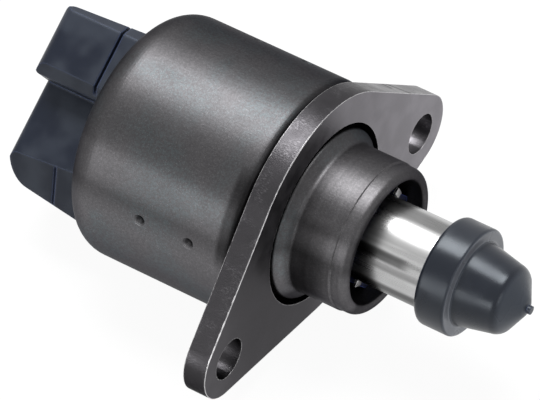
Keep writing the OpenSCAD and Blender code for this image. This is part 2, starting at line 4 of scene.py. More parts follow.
import bmesh
import bpy
from bpy.props import FloatProperty, FloatVectorProperty, IntProperty, PointerProperty
from bpy.types import Operator, Panel, PropertyGroup
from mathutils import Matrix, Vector


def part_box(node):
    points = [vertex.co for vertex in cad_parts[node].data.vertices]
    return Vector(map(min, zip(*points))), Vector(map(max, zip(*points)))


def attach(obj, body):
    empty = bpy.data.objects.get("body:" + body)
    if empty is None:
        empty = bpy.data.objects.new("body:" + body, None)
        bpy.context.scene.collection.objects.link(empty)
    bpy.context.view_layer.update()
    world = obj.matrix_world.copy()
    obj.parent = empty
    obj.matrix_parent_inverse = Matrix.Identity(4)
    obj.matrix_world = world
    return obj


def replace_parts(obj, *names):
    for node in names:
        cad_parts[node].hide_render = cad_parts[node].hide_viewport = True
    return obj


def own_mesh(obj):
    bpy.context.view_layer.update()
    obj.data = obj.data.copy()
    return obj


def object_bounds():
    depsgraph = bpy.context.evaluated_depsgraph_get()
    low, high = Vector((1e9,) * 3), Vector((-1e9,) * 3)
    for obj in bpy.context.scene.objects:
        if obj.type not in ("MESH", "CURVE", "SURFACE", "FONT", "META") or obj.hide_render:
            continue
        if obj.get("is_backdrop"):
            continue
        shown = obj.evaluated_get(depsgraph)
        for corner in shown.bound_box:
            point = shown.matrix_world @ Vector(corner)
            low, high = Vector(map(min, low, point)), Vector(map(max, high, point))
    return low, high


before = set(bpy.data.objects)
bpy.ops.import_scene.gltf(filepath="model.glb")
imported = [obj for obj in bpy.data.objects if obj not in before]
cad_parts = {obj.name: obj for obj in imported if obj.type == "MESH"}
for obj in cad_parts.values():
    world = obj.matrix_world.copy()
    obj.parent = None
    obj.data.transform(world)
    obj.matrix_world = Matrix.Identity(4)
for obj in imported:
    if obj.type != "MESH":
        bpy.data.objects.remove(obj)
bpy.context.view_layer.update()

bl_info = {
    "name": "Idle air valve dressing",
    "version": (1, 0, 0),
    "blender": (4, 5, 0),
    "location": "View3D > Sidebar > Idle valve",
    "description": "Gives the stepper idle air valve its finishes, fine pieces and studio",
    "category": "Object",
}

# One millimetre in metres.
MM = 0.001
# The bodies that the added pieces ride on.
HOUSING = "housing"
PLUNGER = "plunger"

# Painted light and shade on the can's plating along X: millimetres, and how bright it is there.
CAN_PAINTED_SHADE = ((-4.6, 0.98), (-4.2, 0.85), (-3.7, 0.50), (-1.0, 0.60), (1.0, 1.12), (3.0, 1.12))
# Painted lengthwise bands of light and shade on the can: degrees round the axis, half width, softness,
# and how much brighter.
CAN_PAINTED_BANDS = (
    (186.0, 12.0, 16.0, 1.1), (148.0, 5.0, 6.0, 0.16), (126.0, 8.0, 8.0, -0.10), (89.0, 3.0, 6.0, 0.12))
# Painted shade on the low side of the can's front roll, and of its collar: degrees round the axis, half
# width, softness, and how dark along X.
ROLL_PAINTED_SHADE = (146.0, 14.0, 14.0, ((-5.7, 0.0), (-4.9, 0.60), (-3.0, 0.60), (-1.0, 0.0)))
COLLAR_PAINTED_SHADE = (
    168.0, 28.0, 12.0, ((0.4, 0.0), (1.2, 0.50), (3.2, 0.66), (5.0, 0.55), (7.0, 0.28), (8.6, 0.20)))
# Where the can's wall is plain, and where its collar begins: x in millimetres, and one there.
WALL_ONLY = ((-23.7, 0.0), (-23.3, 1.0), (-5.0, 1.0), (-4.6, 0.0))
COLLAR_ONLY = ((0.6, 0.0), (1.6, 1.0))
# The can's outer radius, millimetres, and the brightness left by the painted shade deep in a dimple.
CAN_RADIUS = 15.85
DIMPLE_PAINTED_SHADE = 0.25

# Painted lengthwise bands of reflection on the sleeve, as on the can, and a painted dark streak of
# reflection that fades towards the tip.
SLEEVE_PAINTED_BANDS = (
    (149.0, 8.0, 6.0, -0.64), (72.0, 8.0, 10.0, -0.45), (172.0, 9.0, 12.0, 0.15),
    (197.0, 10.0, 8.0, -0.85), (119.0, 3.0, 3.0, -0.18))
SLEEVE_PAINTED_STREAK = (142.0, 4.0, 5.0, ((11.0, 0.80), (13.5, 0.74), (15.5, 0.25), (18.0, 0.20)))

# Painted light and shade on the flange's front from ear to ear: y in millimetres, and how bright it is.
EAR_PAINTED_SHADE = ((-26.0, 1.0), (-16.0, 0.70), (-6.0, 0.75), (8.0, 2.3), (24.0, 2.9))
# The same painted light and shade along its sheared side.
SIDE_PAINTED_SHADE = ((-24.0, 0.75), (2.0, 0.85), (10.0, 1.2), (16.0, 2.1))
# What the sheared side and the faces reflect at a glancing angle, linear RGB.
SIDE_GLANCE = (0.55, 0.55, 0.55)
FACE_GLANCE = (0.6, 0.6, 0.6)
# Nicks across the ear's sheared side: y in millimetres at the rear, its slant, and the x where it ends.
EAR_NICKS = ((17.5, 0.0, -1.6), (18.3, 0.37, 0.5))
# The x of the flange's rear face, and a nick's half width from full depth to none, millimetres.
FLANGE_REAR = -3.0
NICK_HALF = (0.07, 0.18)
# The burr: where it is thicker, where that side begins and how softly, its least share of the full
# size, the spacing of its points and the radius that the flange's outline passes, millimetres.
BURR_SIDE = (0.0, -0.80, 0.60)
BURR_FROM, BURR_SOFT, BURR_LEAST = 0.50, 0.3, 0.20
BURR_STEP, BEYOND_BORE = 0.35, 13.0

# The dusty grey that moulded black takes on, also used as painted sheen on faces turned along the axis,
# and the painted sheen on the tip's shoulder, linear RGB.
GREY_BLOOM_AND_SHEEN = (0.034, 0.040, 0.052)
SHOULDER_PAINTED_SHEEN = (0.100, 0.106, 0.122)
# How far inside the tip's widest radius the shoulder's painted sheen begins, millimetres.
SHOULDER_DEPTH = 1.6
# What moulded black reflects at a glancing angle, linear RGB.
BLACK_GLANCE = (0.86, 0.93, 1.0)

# Where the guide's two stop tabs lie round the axis, degrees, and their section: how far it stands
# out from the guide's face, and its radius, millimetres.
TAB_ANGLES = ((14.0, 27.0), (231.0, 244.0))
TAB_SECTION = ((0.0, 5.72), (0.0, 6.75), (0.3, 6.65), (0.3, 5.82))
TAB_STEPS = 6

# The gate stub's rings: share of its height, and radius in millimetres. Then its highest point: how
# far from the tip's end, and off the axis.
GATE_RINGS = ((0.0, 0.62), (0.35, 0.56), (0.62, 0.42), (0.85, 0.22))
GATE_TOP = (-0.02, 0.05, 0.04)
GATE_SIDES = 14

# The thread: sides and rows of points to a turn, how steep its flanks are and where they begin, and
# the share of a pitch over which it runs out. Then the chamfer at the screw's end, millimetres.
THREAD_SIDES, THREAD_ROWS = 40, 12
FLANK_SLOPE, FLANK_START, RUN_OUT = 3.2, 0.25, 0.8
SCREW_CHAMFER = 0.3
# Points to a turn of the spring, and sides of its wire.
COIL_STEPS, COIL_SIDES = 40, 12

# The width of one turn of wire, millimetres, and the bands of a wave texture in two pi at scale one.
WIRE_STEP, WAVE_RATE = 0.18, 20.0

# Sockets of the Mix node for each kind of value: first, second and result.
MIX_SOCKETS = {"VECTOR": (4, 5, 1), "RGBA": (6, 7, 2)}

# The picture that the origin's place is given in, pixels.
PICTURE = (540, 400)
# The lamps: their power's setting, their name, which way they stand, and their size in metres.
LAMPS = (
    ("key", "key_softbox", (-0.15, 0.23, 0.89), (0.50, 0.25)),
    ("fill", "side_fill", (-0.20, -0.95, 0.25), (0.45, 0.18)),
    ("strip", "front_strip", (0.80, -0.45, 0.40), (0.10, 0.30)),
)
# How far off the lamps stand and half the floor's size, metres, and how near to white the floor looks.
LAMP_DISTANCE = 0.55
FLOOR_HALF = 3.0
FLOOR_WHITE = 0.94


# Properties

def colour(name, value, description):
    """A colour property, linear RGB."""
    return FloatVectorProperty(
        name=name, description=description, subtype="COLOR",
        size=3, min=0.0, max=1.0, default=value,
    )


def number(name, value, description, **more):
    """A number property."""
    return FloatProperty(name=name, description=description, default=value, **more)


def millimetres(name, value, description, low=0.0, high=200.0):
    """A length property given in millimetres."""
    return number(name, value, description, min=low, max=high, precision=3)


def share(name, value, description):
    """A property from nought to one."""
    return number(name, value, description, subtype="FACTOR", min=0.0, max=1.0)


def angle(name, degrees, description):
    """An angle property, given here in degrees."""
    return number(name, math.radians(degrees), description, subtype="ANGLE", unit="ROTATION")


class IdleValveFinishes(PropertyGroup):
    """Colours and roughness of the valve's finishes."""

    plating: colour("Plating", (0.069, 0.067, 0.070), "Dark plating on the drawn can")
    plating_green: colour(
        "Plating, green cast", (0.062, 0.071, 0.075), "The same plating where it leans to green")
    plating_rough: share("Plating roughness", 0.42, "Roughness of the plated can")
    flange_plating: colour("Flange plating", (0.100, 0.096, 0.103), "Plating on the flange")
    flange_rough: share("Flange roughness", 0.48, "Roughness of the flange")
    bare_edge: colour("Bare edge", (0.70, 0.69, 0.70), "Steel showing where plating is rubbed off")
    cap_black: colour("Cap plastic", (0.0036, 0.0052, 0.0118), "Moulded end cap and plug")
    cap_rough: share("Cap roughness", 0.40, "Roughness of the end cap")
    tip_black: colour("Tip plastic", (0.0036, 0.0046, 0.0085), "Moulded pintle tip")
    tip_rough: share("Tip roughness", 0.29, "Roughness of the pintle tip")
    sleeve_steel: colour("Sleeve steel", (0.43, 0.43, 0.43), "Ground steel of the sleeve")
    sleeve_rough: share("Sleeve roughness", 0.29, "Roughness of the sleeve")
    guide_plastic: colour("Guide plastic", (0.010, 0.014, 0.045), "Moulded guide bush")
    copper: colour("Winding copper", (0.62, 0.25, 0.10), "Enamelled copper wire")
    terminal: colour("Terminal plating", (0.70, 0.62, 0.42), "Plated terminal pins")


class IdleValveSizes(PropertyGroup):
    """Sizes of the fine pieces that the scene adds to the solids."""

    edge_round: millimetres("Edge rounding", 0.18, "Softened edge that catches the light, mm")
    thread_pitch: millimetres("Thread pitch", 1.0, "Pitch of the lead screw's thread, mm", 0.3, 3.0)
    thread_depth: millimetres("Thread depth", 0.42, "Depth of the lead screw's thread, mm", 0.1, 1.0)
    spring_wire: millimetres("Spring wire", 0.8, "Wire of the plunger spring, mm", 0.2, 2.0)
    spring_turns: IntProperty(
        name="Spring turns", description="Turns of the plunger spring", default=7, min=3, max=20)
    burr: millimetres("Edge burr", 0.11, "Half width of the pressed edge's bright burr, mm", 0.02, 0.5)
    gate_height: millimetres("Gate stub", 0.45, "Height of the broken gate on the tip, mm", 0.1, 1.0)


class IdleValveStudio(PropertyGroup):
    """Camera and lamps of the studio."""

    azimuth: angle("Azimuth", 35.72, "Camera azimuth")
    elevation: angle("Elevation", 48.58, "Camera elevation")
    roll: angle("Roll", 3.29, "Camera roll")
    distance: number("Distance", 0.648, "Camera distance", unit="LENGTH", min=0.1)
    lens: number("Lens", 360.0, "Focal length, mm", min=20.0, max=500.0)
    origin_u: number("Origin across", 324.6, "Where the part's origin falls, pixels of 540")
    origin_v: number("Origin down", 214.0, "Where the part's origin falls, pixels of 400")
    ambient: number("Ambient", 0.42, "Level of the even studio light", min=0.0, max=2.0)
    key: number("Key lamp", 4.8, "Power of the overhead softbox", unit="POWER")
    fill: number("Fill lamp", 1.2, "Power of the low side lamp", unit="POWER")
    strip: number("Strip lamp", 0.22, "Power of the strip on the tip's side", unit="POWER")
    floor: colour("Floor", (0.93, 0.93, 0.93), "Pale floor")


# Finishes

class Patterns:
    """The nodes of a material or a world in the making."""

    def __init__(self, tree):
        self.tree = tree
        tree.nodes.clear()

    def link(self, source, target):
        self.tree.links.new(source, target)

    def feed(self, socket, value):
        """Links a pattern to a socket, or sets the socket if value is a plain number or colour."""
        if isinstance(value, bpy.types.NodeSocket):
            self.link(value, socket)
        elif hasattr(value, "__len__") and len(value) == 3 and socket.type == "RGBA":
            socket.default_value = (*value, 1.0)
        else:
            socket.default_value = value

    def node(self, kind, **values):
        """A new node, with patterns or plain values in the inputs that are named."""
        node = self.tree.nodes.new(kind)
        for name, value in values.items():
            self.feed(node.inputs[name.replace("_", " ")], value)
        return node

    def sums(self, operation, *values):
        """A sum of one kind, of patterns and plain numbers."""
        node = self.node("ShaderNodeMath")
        node.operation = operation
        for socket, value in zip(node.inputs, values):
            self.feed(socket, value)
        return node.outputs[0]

    def times(self, first, second):
        return self.sums("MULTIPLY", first, second)

    def plus(self, first, second):
        return self.sums("ADD", first, second)

    def less(self, first, second):
        return self.sums("SUBTRACT", first, second)

    def rest(self, value):
        """What a pattern leaves of one."""
        return self.less(1.0, value)

    def shown(self, lit, white, amount, output):
        """Sends lit to the output, but white for camera, glossy and transmission rays, by amount."""
        path = self.node("ShaderNodeLightPath").outputs
        seen = self.sums("MAXIMUM", path["Is Camera Ray"], path["Is Glossy Ray"])
        seen = self.times(self.sums("MAXIMUM", seen, path["Is Transmission Ray"]), amount)
        mix = self.node("ShaderNodeMixShader", Fac=seen)
        self.link(lit.outputs[0], mix.inputs[1])
        self.link(white.outputs[0], mix.inputs[2])
        self.link(mix.outputs[0], output.inputs["Surface"])


class Finish(Patterns):
    """A procedural material in the making: one shader, and the patterns that feed it."""

    def __init__(self, name, **constants):
        self.material = bpy.data.materials.new(name)
        self.material.use_nodes = True
        super().__init__(self.material.node_tree)
        self.shader = self.node("ShaderNodeBsdfPrincipled", **constants)
        output = self.node("ShaderNodeOutputMaterial")
        self.link(self.shader.outputs["BSDF"], output.inputs["Surface"])
        self.place = self.node("ShaderNodeTexCoord").outputs["Object"]
        self.heights = []

    def swing(self, pattern, amount):
        """A pattern of nought to one that swings round nought instead, amount in all."""
        return self.times(self.less(pattern, 0.5), amount)

    def vector(self, operation, *values, out=0):
        """A sum of vectors; a value of None leaves its socket alone."""
        node = self.node("ShaderNodeVectorMath")
        node.operation = operation
        for socket, value in zip(node.inputs, values):
            if value is not None:
                self.feed(socket, value)
        return node.outputs[out]

    def axes(self, source=None):
        """The three parts of a vector, the place on the object if none is given."""
        return self.node("ShaderNodeSeparateXYZ", Vector=source or self.place).outputs

    def stretched(self, x, y, z):
        """The place on the object, stretched so that a pattern runs long where the number is small."""
        return self.vector("MULTIPLY", self.place, (x, y, z))

    def noise(self, size, detail=2.0, rough=0.5, place=None, warp=0.0):
        """Noise with features of about size millimetres."""
        return self.node(
            "ShaderNodeTexNoise", Vector=place or self.place, Scale=1.0 / (size * MM), Detail=detail,
            Roughness=rough, Distortion=warp).outputs["Fac"]

    def cells(self, size):
        """Distance from the nearest of scattered points, about size millimetres apart."""
        return self.node(
            "ShaderNodeTexVoronoi", Vector=self.place, Scale=1.0 / (size * MM)).outputs["Distance"]

    def between(self, value, low, high, to_low=0.0, to_high=1.0, smooth=True):
        """Maps value from low..high to to_low..to_high, held at both ends."""
        node = self.node("ShaderNodeMapRange")
        node.interpolation_type = "SMOOTHSTEP" if smooth else "LINEAR"
        for socket, number in zip(node.inputs, (value, low, high, to_low, to_high)):
            self.feed(socket, number)
        return node.outputs[0]

    def patches(self, size, low, high, detail=3.0, rough=0.5, place=None, warp=0.0):
        """Noise that is nought below low and one above high, in patches of about size millimetres."""
        return self.between(self.noise(size, detail, rough, place, warp), low, high)

    def mixed(self, kind, amount, first, second):
        """A colour or vector between first and second."""
        one, two, result = MIX_SOCKETS[kind]
        node = self.node("ShaderNodeMix", Factor=amount)
        node.data_type = kind
        self.feed(node.inputs[one], first)
        self.feed(node.inputs[two], second)
        return node.outputs[result]

    def blend(self, amount, first, second, most=None):
        """A colour between first and second, as far as amount says, or at most a share of that."""
        return self.mixed("RGBA", self.times(amount, most) if most else amount, first, second)

    def scaled(self, colour_pattern, by):
        """A colour made darker or lighter by a pattern."""
        return self.vector("SCALE", colour_pattern, None, None, by)

    def along(self, stops, axis=0):
        """A number that runs through stops of (place in millimetres, value) along an axis."""
        place = self.sums("DIVIDE", self.axes()[axis], MM)
        total = stops[0][1]
        for (start, low), (end, high) in zip(stops, stops[1:]):
            total = self.plus(total, self.between(place, start, end, 0.0, high - low))
        return total

    def across(self):
        """The place on the object, seen along the part's axis."""
        return self.vector("MULTIPLY", self.place, (0.0, 1.0, 1.0))

    def outward(self):
        """The direction away from the part's axis."""
        return self.vector("NORMALIZE", self.across())

    def depth_below(self, radius):
        """How far the surface lies below a cylinder about the part's axis, in millimetres."""
        return self.less(radius, self.sums("DIVIDE", self.vector("LENGTH", self.across(), out=1), MM))

    def round_at(self, degrees, half, soft):
        """One on a lengthwise band at an angle round the axis, half its width either way, soft beyond."""
        turn = math.radians(degrees)
        match = self.vector("DOT_PRODUCT", self.outward(), (0.0, math.cos(turn), math.sin(turn)), out=1)
        return self.between(match, math.cos(math.radians(half + soft)), math.cos(math.radians(half)))

    def banded(self, bands):
        """How bright the surface is round the axis: one, and more or less on some lengthwise bands."""
        total = 1.0
        for degrees, half, soft, by in bands:
            total = self.plus(total, self.times(self.round_at(degrees, half, soft), by))
        return total

    def left_by(self, dark_place):
        """What is left of the brightness on a band that is dark by so much along X."""
        degrees, half, soft, stops = dark_place
        return self.rest(self.times(self.round_at(degrees, half, soft), self.along(stops)))

    def nicks(self, cuts):
        """One on narrow cuts across the upper side of the flange."""
        x, y, z = (self.sums("DIVIDE", part, MM) for part in self.axes())
        total = 0.0
        for start, slant, end in cuts:
            middle = self.plus(start, self.times(self.less(x, FLANGE_REAR), slant))
            off = self.sums("ABSOLUTE", self.less(y, middle))
            cut = self.times(
                self.between(off, *NICK_HALF, 1.0, 0.0), self.between(x, end, end + 0.2, 1.0, 0.0))
            total = self.sums("MAXIMUM", total, cut)
        return self.times(total, self.between(z, 0.0, 1.0))

    def true_round(self, normal, amount):
        """The normal, drawn towards that of a plain cylinder about the part's axis by amount."""
        turned = self.node("ShaderNodeVectorTransform", Vector=self.outward())
        turned.vector_type = "NORMAL"
        turned.convert_from, turned.convert_to = "OBJECT", "WORLD"
        return self.vector("NORMALIZE", self.mixed("VECTOR", amount, normal, turned.outputs[0]))

    def facing(self):
        """How squarely the surface faces along the part's axis, nought to one."""
        normal = self.node("ShaderNodeNewGeometry").outputs["True Normal"]
        return self.sums("ABSOLUTE", self.axes(normal)[0])

    def rounded(self, radius):
        """The normal with its sharp edges softened over radius millimetres."""
        node = self.node("ShaderNodeBevel", Radius=radius * MM)
        node.samples = 6
        return node.outputs["Normal"]

    def edges(self, radius, low=0.04, high=0.30):
        """One on edges that are sharper than radius millimetres, nought elsewhere."""
        flat = self.node("ShaderNodeNewGeometry").outputs["Normal"]
        match = self.vector("DOT_PRODUCT", self.rounded(radius), flat, out=1)
        return self.between(self.rest(match), low, high)

    def raise_by(self, height, depth, strength=1.0):
        """Adds a height pattern, depth millimetres deep, to the surface."""
        self.heights.append((height, depth, strength))

    def finished(self, colour_pattern=None, rough_pattern=None, edge_round=0.0, rounding=None):
        """Feeds the shader and hands the material over."""
        if colour_pattern is not None:
            self.feed(self.shader.inputs["Base Color"], colour_pattern)
        if rough_pattern is not None:
            self.feed(self.shader.inputs["Roughness"], rough_pattern)
        normal = self.rounded(edge_round) if edge_round else None
        if rounding is not None:
            normal = self.true_round(normal, rounding)
        for height, depth, strength in self.heights:
            node = self.node("ShaderNodeBump", Distance=depth * MM, Strength=strength, Height=height)
            if normal is not None:
                self.link(normal, node.inputs["Normal"])
            normal = node.outputs["Normal"]
        if normal is not None:
            self.link(normal, self.shader.inputs["Normal"])
        return self.material


def lighter_or_darker(value, by):
    """A colour made lighter or darker, at most one in each part."""
    return tuple(min(1.0, part * by) for part in value)


def drawn_plating(look, sizes):
    """Dark plating over the drawn can: fine satin grain, long faint draw lines and a shifting cast."""
    finish = Finish("drawn_plating", Metallic=1.0, Specular_Tint=(0.36, 0.36, 0.37))
    grain = finish.noise(0.30, 3.0, 0.6)
    lines = finish.noise(0.16, 2.0, 0.55, finish.stretched(0.03, 1.0, 1.0))
    rings = finish.noise(0.9, 3.0, 0.55, finish.stretched(1.0, 0.06, 0.06))
    on_collar = finish.along(COLLAR_ONLY)
    cast = finish.times(finish.patches(9.0, 0.40, 0.62, warp=0.4), finish.rest(on_collar))
    base = finish.blend(cast, look.plating, look.plating_green)
    base = finish.blend(finish.between(grain, 0.35, 0.70), lighter_or_darker(look.plating, 0.80), base)
    speckle = finish.patches(0.11, 0.56, 0.74, 2.0, 0.6)
    base = finish.blend(speckle, base, lighter_or_darker(look.plating, 2.2), 0.55)
    rubbed = finish.times(finish.edges(0.35, 0.06, 0.30), finish.patches(0.9, 0.34, 0.66))
    base = finish.blend(rubbed, base, look.bare_edge, 0.30)
    ring_shade = finish.less(finish.between(rings, 0.35, 0.65, 0.91, 1.09), 1.0)
    # Painted light and shade along the can, times the collar's machined rings.
    shade = finish.times(finish.along(CAN_PAINTED_SHADE), finish.plus(1.0, finish.times(on_collar, ring_shade)))
    # Painted lengthwise bands of light and shade round the can.
    shade = finish.times(shade, finish.banded(CAN_PAINTED_BANDS))
    # Painted shade on the low side of the front roll and of the collar.
    shade = finish.times(shade, finish.times(finish.left_by(ROLL_PAINTED_SHADE), finish.left_by(COLLAR_PAINTED_SHADE)))
    on_wall = finish.along(WALL_ONLY)
    below = finish.depth_below(CAN_RADIUS)
    # Painted shade deep in the dimples of the can's wall.
    dimple_painted_shade = finish.times(on_wall, finish.between(below, 0.08, 0.30))
    shade = finish.times(shade, finish.between(dimple_painted_shade, 0.0, 1.0, 1.0, DIMPLE_PAINTED_SHADE))
    base = finish.scaled(base, shade)
    rough = finish.plus(look.plating_rough, finish.swing(finish.noise(3.0, 3.0), 0.12))
    rough = finish.less(rough, finish.times(rubbed, 0.10))
    finish.raise_by(lines, 0.010, 0.35)
    finish.raise_by(grain, 0.014, 0.5)
    finish.raise_by(finish.noise(2.2, 2.0), 0.05, 0.25)
    finish.raise_by(finish.times(rings, on_collar), 0.03, 0.3)
    plain = finish.times(on_wall, finish.between(below, 0.02, 0.005, smooth=False))
    return finish.finished(base, rough, sizes.edge_round, plain)


def pressed_plating(look):
    """The flange: matt pressed faces, and a sheared edge with a smooth land and a torn rear part."""
    finish = Finish("pressed_plating", Metallic=1.0)
    face = finish.between(finish.facing(), 0.6, 0.9)
    mottle = finish.patches(3.2, 0.35, 0.68, rough=0.55)
    base = finish.blend(mottle, lighter_or_darker(look.flange_plating, 0.90), lighter_or_darker(look.flange_plating, 1.10))
    # Painted light and shade from ear to ear.
    base = finish.scaled(base, finish.along(EAR_PAINTED_SHADE, axis=1))
    tear = finish.noise(0.12, 3.0, 0.65, finish.stretched(0.30, 1.0, 1.0))
    torn = finish.times(finish.patches(2.6, 0.46, 0.62, 2.0), finish.between(tear, 0.48, 0.66))
    side = finish.blend(torn, lighter_or_darker(look.flange_plating, 0.50), lighter_or_darker(look.flange_plating, 1.05))
    nicks = finish.nicks(EAR_NICKS)
    # Painted light and shade along the sheared side, darker in the nicks; the glancing tint takes it too.
    side_shade = finish.times(finish.along(SIDE_PAINTED_SHADE, axis=1), finish.rest(finish.times(nicks, 0.85)))
    side = finish.scaled(side, side_shade)
    glancing = finish.blend(face, finish.scaled(SIDE_GLANCE, side_shade), FACE_GLANCE)
    finish.feed(finish.shader.inputs["Specular Tint"], glancing)
    base = finish.blend(face, side, base)
    rubbed = finish.times(finish.edges(0.22, 0.03, 0.22), finish.patches(0.7, 0.28, 0.55))
    base = finish.blend(rubbed, base, look.bare_edge, 0.6)
    rough = finish.between(face, 0.0, 1.0, look.flange_rough * 0.75, look.flange_rough, smooth=False)
    rough = finish.plus(rough, finish.swing(mottle, 0.10))
    finish.raise_by(finish.noise(0.24, 3.0, 0.65), 0.018, 0.6)
    finish.raise_by(finish.rest(nicks), 0.08, 0.6)
    finish.raise_by(finish.times(tear, finish.rest(face)), 0.03, 0.5)
    return finish.finished(base, rough, 0.10)


def moulded_black(
        name, colour_value, roughness, edge, bloom, gloss=0.30, front_painted_sheen=0.0, shoulder=None):
    """Black moulded plastic: fine spark texture, faint bloom, slightly rubbed edges and painted sheen."""
    finish = Finish(name, Specular_IOR_Level=gloss, IOR=1.5, Specular_Tint=BLACK_GLANCE)
    cloud = finish.patches(5.0, 0.36, 0.64, 2.0)
    base = finish.blend(cloud, colour_value, GREY_BLOOM_AND_SHEEN, bloom)
    front = finish.facing()
    # Faces turned along the axis take a painted sheen of light.
    base = finish.blend(finish.between(front, 0.45, 0.85, 0.0, front_painted_sheen), base, GREY_BLOOM_AND_SHEEN)
    # The tip's shoulder takes a painted sheen of light.
    if shoulder is not None:
        inside = finish.between(finish.depth_below(shoulder), 0.15, -0.05)
        ring = finish.times(finish.between(front, 0.80, 0.95), inside)
        base = finish.blend(ring, base, SHOULDER_PAINTED_SHEEN)
    flecks = finish.between(finish.cells(0.55), 0.0, 0.16, 1.0, 0.0)
    flecks = finish.times(flecks, finish.patches(2.0, 0.50, 0.62, 2.0))
    base = finish.blend(flecks, base, lighter_or_darker(colour_value, 8.0), 0.30)
    base = finish.blend(finish.edges(0.35, 0.02, 0.20), base, lighter_or_darker(colour_value, 12.0), 0.70)
    rough = finish.between(cloud, 0.0, 1.0, roughness - 0.06, roughness + 0.08, smooth=False)
    finish.raise_by(finish.noise(0.13, 3.0, 0.6), 0.010, 0.5)
    finish.raise_by(finish.noise(1.8, 3.0, 0.5), 0.05, 0.35)
    return finish.finished(base, rough, edge)


def ground_steel(look):
    """The sleeve, drawn and polished along its axis: fine lengthwise lines and painted bands of
    reflection.
    """
    finish = Finish("ground_steel", Metallic=1.0)
    patches = finish.patches(1.2, 0.38, 0.64, 3.0, 0.6, finish.stretched(0.12, 1.0, 1.0))
    base = finish.blend(patches, lighter_or_darker(look.sleeve_steel, 0.92), lighter_or_darker(look.sleeve_steel, 1.06))
    scratch = finish.patches(0.07, 0.66, 0.72, 1.0, 0.5, finish.stretched(0.05, 1.0, 1.0))
    base = finish.blend(scratch, base, lighter_or_darker(look.sleeve_steel, 0.45), 0.15)
    # Painted bands and a painted dark streak of reflection along the sleeve.
    base = finish.scaled(base, finish.times(finish.banded(SLEEVE_PAINTED_BANDS), finish.left_by(SLEEVE_PAINTED_STREAK)))
    low, high = look.sleeve_rough - 0.02, look.sleeve_rough + 0.03
    rough = finish.between(patches, 0.0, 1.0, low, high, smooth=False)
    finish.raise_by(finish.noise(0.14, 3.0, 0.7, finish.stretched(0.03, 1.0, 1.0)), 0.002, 0.3)
    return finish.finished(base, rough, 0.10)


def plain_metal(name, colour_value, roughness, line=(1.0, 1.0, 1.0), grain=0.2, depth=0.006):
    """Machined or pressed metal of the inner parts, with tool lines one way."""
    finish = Finish(name, Metallic=1.0)
    stain = finish.patches(2.4, 0.35, 0.70, rough=0.6)
    base = finish.blend(stain, lighter_or_darker(colour_value, 0.80), lighter_or_darker(colour_value, 1.08))
    base = finish.blend(finish.edges(0.12), base, lighter_or_darker(colour_value, 1.5), 0.5)
    rough = finish.between(stain, 0.0, 1.0, roughness + 0.06, roughness - 0.04, smooth=False)
    finish.raise_by(finish.noise(grain, 3.0, 0.6, finish.stretched(*line)), depth, 0.5)
    return finish.finished(base, rough, 0.06)


def moulded_pale(name, colour_value, roughness):
    """Natural moulded plastic of the bobbins and hub: slightly waxy, with a fine grain."""
    finish = Finish(
        name, Specular_IOR_Level=0.5, Subsurface_Weight=0.12, Subsurface_Scale=0.0008,
        Subsurface_Radius=(1.0, 0.8, 0.6))
    cloud = finish.patches(2.0, 0.35, 0.68, rough=0.55)
    base = finish.blend(cloud, lighter_or_darker(colour_value, 0.88), lighter_or_darker(colour_value, 1.06))
    base = finish.blend(finish.edges(0.2), base, lighter_or_darker(colour_value, 1.35), 0.4)
    finish.raise_by(finish.noise(0.14, 2.0, 0.6), 0.010, 0.45)
    return finish.finished(base, finish.between(cloud, 0.0, 1.0, roughness, roughness + 0.1), 0.12)


def wound_copper(look):
    """Enamelled wire laid in even turns round the axis."""
    finish = Finish("wound_copper", Metallic=1.0, Coat_Weight=0.6, Coat_Roughness=0.12)
    rate = 2 * math.pi / (WAVE_RATE * WIRE_STEP * MM)
    wave = finish.node("ShaderNodeTexWave", Vector=finish.place, Scale=rate, Distortion=0.4)
    wave.bands_direction = "X"
    wires = wave.outputs["Fac"]
    shade = finish.patches(1.1, 0.35, 0.68, 2.0)
    base = finish.blend(shade, lighter_or_darker(look.copper, 0.7), look.copper)
    # Painted shade in the grooves between the turns of wire.
    base = finish.blend(finish.between(wires, 0.0, 0.35, 0.8, 0.0), base, lighter_or_darker(look.copper, 0.25))
    finish.raise_by(wires, 0.07, 0.8)
    return finish.finished(base, finish.between(shade, 0.0, 1.0, 0.30, 0.20))


def sintered(name, colour_value, roughness):
    """Sintered ferrite, or rubber: dull, pitted and slightly glittering."""
    finish = Finish(name, Specular_IOR_Level=0.4)
    grain = finish.noise(0.10, 3.0, 0.65)
    base = finish.blend(finish.noise(2.5, 3.0), lighter_or_darker(colour_value, 0.7), lighter_or_darker(colour_value, 1.5))
    finish.raise_by(finish.between(finish.cells(0.30), 0.0, 0.5), 0.02, 0.5)
    finish.raise_by(grain, 0.012, 0.6)
    return finish.finished(base, finish.between(grain, 0.3, 0.7, roughness - 0.1, roughness + 0.1), 0.1)


# Piece building

def cad(name):
    """The object of a CAD node."""
    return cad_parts[name]


def dress(node, material):
    """Gives a CAD node its finish."""
    materials = cad(node).data.materials
    materials.clear()
    materials.append(material)


def piece(name, mesh_builder, material, body, smooth=True):
    """Makes a mesh object from a bmesh that is built in metres, and rides it on a body."""
    mesh = bpy.data.meshes.new(name)
    build = bmesh.new()
    mesh_builder(build)
    bmesh.ops.recalc_face_normals(build, faces=build.faces)
    build.to_mesh(mesh)
    build.free()
    for face in mesh.polygons:
        face.use_smooth = smooth
    obj = bpy.data.objects.new(name, mesh)
    bpy.context.scene.collection.objects.link(obj)
    mesh.materials.append(material)
    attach(obj, body)
    return obj


def turns(sides):
    """Even angles round a circle."""
    return [2 * math.pi * step / sides for step in range(sides)]


